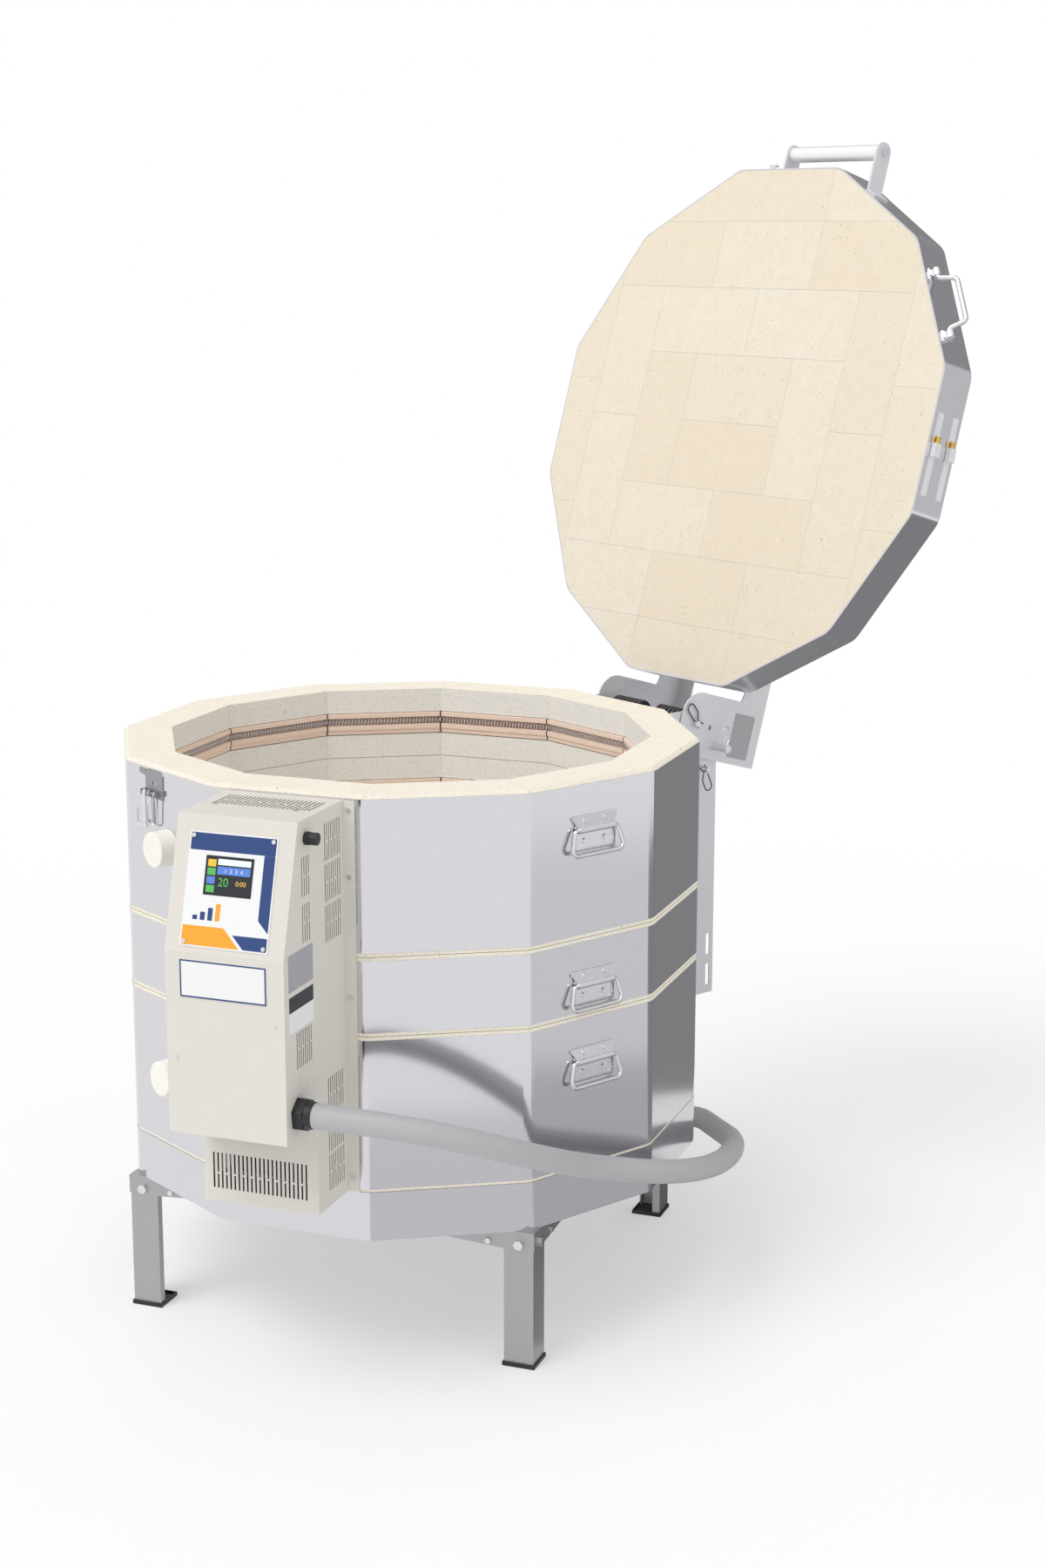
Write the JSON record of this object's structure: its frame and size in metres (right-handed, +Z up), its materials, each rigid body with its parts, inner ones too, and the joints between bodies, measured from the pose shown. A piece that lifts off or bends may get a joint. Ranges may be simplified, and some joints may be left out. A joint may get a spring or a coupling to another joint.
{
  "type": "pottery kiln",
  "caption": "Twelve-sided top-loading electric pottery kiln with stainless jackets, slanted control box, folded-leg stand and a hinged brick lid.",
  "frame": {"origin": "on the kiln's vertical axis at floor level, in the plane of the foot caps", "axes": "+Z up; -Y towards the control box, +X to its right seen from the front; the lid's hinge is on the facet at 60 degrees from +X"},
  "size_m": [1.1887, 1.5059, 1.7419],
  "materials": {
    "firebrick": "soft insulating brick, pale cream, matt and slightly pitted",
    "holder_ceramic": "fired pinkish ceramic, matt",
    "white_ceramic": "off-white ceramic, matt",
    "element_wire": "coiled resistance wire, dark oxide",
    "stainless_sheet": "folded stainless sheet, fine brushed grain",
    "galvanised_steel": "galvanised sheet, dull",
    "zinc_hardware": "zinc-plated hardware, satin",
    "gold_zinc": "yellow passivated zinc screws",
    "spring_steel": "dark spring wire, lightly oiled",
    "chrome_wire": "bright bent wire",
    "box_paint": "off-white powder coat, fine texture",
    "panel_print": "printed panel, navy with orange and white blocks, satin",
    "screen_glass": "dark touch screen, smooth glass",
    "label_white": "bare label, satin",
    "black_plastic": "black moulded plastic, matt",
    "cord_jacket": "grey flexible jacket, matt",
    "board_green": "circuit board, satin",
    "copper_iron": "varnished laminations and winding"
  },
  "bodies": {
    "kiln": {"leg_front_left": "galvanised_steel", "leg_front_right": "galvanised_steel", "leg_rear_left": "galvanised_steel", "leg_rear_right": "galvanised_steel", "foot_caps": "black_plastic", "stand_brackets": "galvanised_steel", "floor_pan": "stainless_sheet", "floor_slab": "firebrick", "bricks_lower": "firebrick", "bricks_middle": "firebrick", "bricks_upper": "firebrick", "jacket_lower": "stainless_sheet", "jacket_middle": "stainless_sheet", "jacket_upper": "stainless_sheet", "element_holders": "holder_ceramic", "heating_elements": "element_wire", "element_terminals": "element_wire", "terminal_insulators": "white_ceramic", "thermocouples": "white_ceramic", "jacket_clamps": "zinc_hardware", "handle_plates": "zinc_hardware", "latch_base": "zinc_hardware", "box_rear_shell": "box_paint", "box_front_cover": "box_paint", "control_panel": "panel_print", "touch_screen": "screen_glass", "name_plate": "label_white", "control_board": "board_green", "relays": "black_plastic", "transformer": "copper_iron", "terminal_block": "black_plastic", "chassis_plate": "galvanised_steel", "fuse_holder": "black_plastic", "cable_gland": "black_plastic", "power_cord": "cord_jacket", "power_plug": "black_plastic", "plug_blades": "gold_zinc", "fasteners": "zinc_hardware", "hinge_channel": "stainless_sheet", "hinge_rods": "zinc_hardware", "torsion_springs": "spring_steel", "r_clips": "chrome_wire"},
    "lid": {"lid_slab": "firebrick", "lid_band": "stainless_sheet", "lid_clamps": "gold_zinc", "lid_hinge_ears": "stainless_sheet", "lid_spring_rod": "zinc_hardware", "lid_handle_brackets": "stainless_sheet", "lid_handle_bar": "chrome_wire", "lid_fittings": "zinc_hardware"},
    "bail_upper": {"handle_bail_upper": "chrome_wire"},
    "bail_middle": {"handle_bail_middle": "chrome_wire"},
    "bail_lower": {"handle_bail_lower": "chrome_wire"},
    "side_bail": {"lid_side_bail": "chrome_wire"},
    "latch_lever_swing": {"latch_lever": "zinc_hardware"},
    "latch_loop_swing": {"latch_loop": "zinc_hardware"},
    "plug_upper": {"peephole_plug_upper": "white_ceramic"},
    "plug_lower": {"peephole_plug_lower": "white_ceramic"},
    "fuse_turn": {"fuse_cap": "black_plastic"}
  },
  "joints": [
    {"name": "lid_hinge", "type": "hinge", "parent": "kiln", "child": "lid", "pos_m": [0.2504, 0.43371, 0.8179], "axis": [0.866, -0.5, 0], "range_deg": [0, 106.4]},
    {"name": "bail_upper_swing", "type": "hinge", "parent": "kiln", "child": "bail_upper", "pos_m": [0.37802, -0.21825, 0.782], "axis": [-0.5, -0.866, 0], "range_deg": [0, 90]},
    {"name": "bail_middle_swing", "type": "hinge", "parent": "kiln", "child": "bail_middle", "pos_m": [0.37802, -0.21825, 0.556], "axis": [-0.5, -0.866, 0], "range_deg": [0, 90]},
    {"name": "bail_lower_swing", "type": "hinge", "parent": "kiln", "child": "bail_lower", "pos_m": [0.37802, -0.21825, 0.442], "axis": [-0.5, -0.866, 0], "range_deg": [0, 90]},
    {"name": "side_bail_swing", "type": "hinge", "parent": "lid", "child": "side_bail", "pos_m": [0.70824, 0.46634, 1.49306], "axis": [0.3108, -0.4618, -0.8308], "range_deg": [0, 126]},
    {"name": "latch_lever_hinge", "type": "hinge", "parent": "kiln", "child": "latch_lever_swing", "pos_m": [-0.26183, -0.35251, 0.811], "axis": [-0.866, 0.5, 0], "range_deg": [0, 150]},
    {"name": "latch_loop_hinge", "type": "hinge", "parent": "kiln", "child": "latch_loop_swing", "pos_m": [-0.24408, -0.36276, 0.811], "axis": [-0.866, 0.5, 0], "range_deg": [0, 165]},
    {"name": "plug_upper_slide", "type": "slide", "parent": "kiln", "child": "plug_upper", "axis": [-0.5, -0.866, 0], "range_m": [0, 0.09]},
    {"name": "plug_lower_slide", "type": "slide", "parent": "kiln", "child": "plug_lower", "axis": [-0.5, -0.866, 0], "range_m": [0, 0.09]},
    {"name": "fuse_cap_turn", "type": "hinge", "parent": "kiln", "child": "fuse_turn", "pos_m": [0.0919, -0.549, 0.8177], "axis": [1, 0, 0], "range_deg": [0, 90]}
  ]
}
